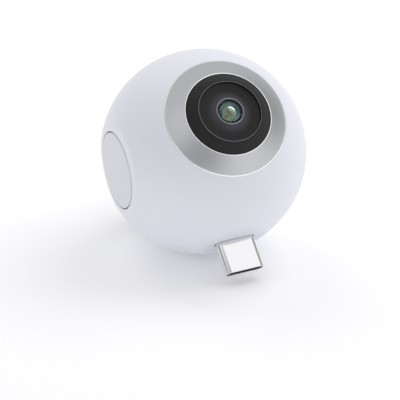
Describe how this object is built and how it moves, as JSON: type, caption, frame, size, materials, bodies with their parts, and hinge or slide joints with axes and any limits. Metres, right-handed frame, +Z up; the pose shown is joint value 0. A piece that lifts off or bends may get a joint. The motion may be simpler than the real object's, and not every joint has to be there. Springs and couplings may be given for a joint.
{
  "type": "360 degree camera",
  "caption": "Ball shaped camera with a wide lens front and rear, a round push button on its side and a flat plug under its foot that holds it in a phone.",
  "frame": {"origin": "middle of the flat foot, where the plug leaves the ball", "axes": "+Z up along the plug's axis, away from the plug; -Y out of the front lens; the button is on the -X side and is pressed along +X"},
  "size_m": [0.0378, 0.0422, 0.047],
  "materials": {
    "white_plastic": "white moulded plastic, satin",
    "button_plastic": "pale grey moulded plastic, satin",
    "screw_steel": "zinc plated steel",
    "trim_aluminium": "bead blasted anodised aluminium with polished edges",
    "black_plastic": "black moulded plastic, fine grain",
    "barrel_aluminium": "black anodised turned aluminium with a polished rim",
    "keeper_aluminium": "dark anodised turned aluminium",
    "front_glass": "coated optical glass",
    "inner_glass": "coated optical glass",
    "filter_glass": "infrared cut filter glass",
    "sensor_silicon": "image sensor with a glass lid",
    "board_laminate": "green glass epoxy laminate",
    "flex_film": "amber polyimide film",
    "chip_resin": "black moulding resin",
    "thermal_rubber": "filled silicone pad",
    "spreader_copper": "copper sheet",
    "can_steel": "tin plated steel sheet",
    "capacitor_ceramic": "ceramic",
    "connector_plastic": "ivory moulded plastic",
    "plunger_plastic": "red moulded plastic",
    "plug_steel": "drawn stainless steel, polished",
    "contact_gold": "gold plated copper alloy"
  },
  "bodies": {
    "camera": {"front_shell": "white_plastic", "rear_shell": "white_plastic", "case_screws": "screw_steel", "front_trim_ring": "trim_aluminium", "rear_trim_ring": "trim_aluminium", "front_lens_surround": "black_plastic", "rear_lens_surround": "black_plastic", "front_lens_barrel": "barrel_aluminium", "rear_lens_barrel": "barrel_aluminium", "front_lens_keeper": "keeper_aluminium", "rear_lens_keeper": "keeper_aluminium", "front_lens_dome": "front_glass", "rear_lens_dome": "front_glass", "front_second_element": "inner_glass", "rear_second_element": "inner_glass", "front_third_element": "inner_glass", "rear_third_element": "inner_glass", "front_fourth_element": "inner_glass", "rear_fourth_element": "inner_glass", "front_lens_spacers": "black_plastic", "rear_lens_spacers": "black_plastic", "front_lens_holder": "black_plastic", "rear_lens_holder": "black_plastic", "front_infrared_filter": "filter_glass", "rear_infrared_filter": "filter_glass", "front_image_sensor": "sensor_silicon", "rear_image_sensor": "sensor_silicon", "front_sensor_board": "board_laminate", "rear_sensor_board": "board_laminate", "front_sensor_screws": "screw_steel", "rear_sensor_screws": "screw_steel", "front_sensor_flex": "flex_film", "rear_sensor_flex": "flex_film", "main_board": "board_laminate", "image_processor": "chip_resin", "thermal_pad": "thermal_rubber", "heat_spreader": "spreader_copper", "shield_can": "can_steel", "memory_chip": "chip_resin", "power_chip": "chip_resin", "clock_crystal": "can_steel", "board_capacitors": "capacitor_ceramic", "flex_connectors": "connector_plastic", "tact_switch": "black_plastic", "side_cap": "button_plastic", "plug_shell": "plug_steel", "plug_insulator": "black_plastic", "plug_contacts": "contact_gold", "plug_collar": "black_plastic"},
    "button": {"button": "button_plastic", "switch_plunger": "plunger_plastic"}
  },
  "joints": [
    {"name": "button_press", "type": "slide", "parent": "camera", "child": "button", "axis": [1, 0, 0], "range_m": [0, 0.0004], "stiffness_N_per_m": 4000, "springref_m": -0.0001}
  ]
}
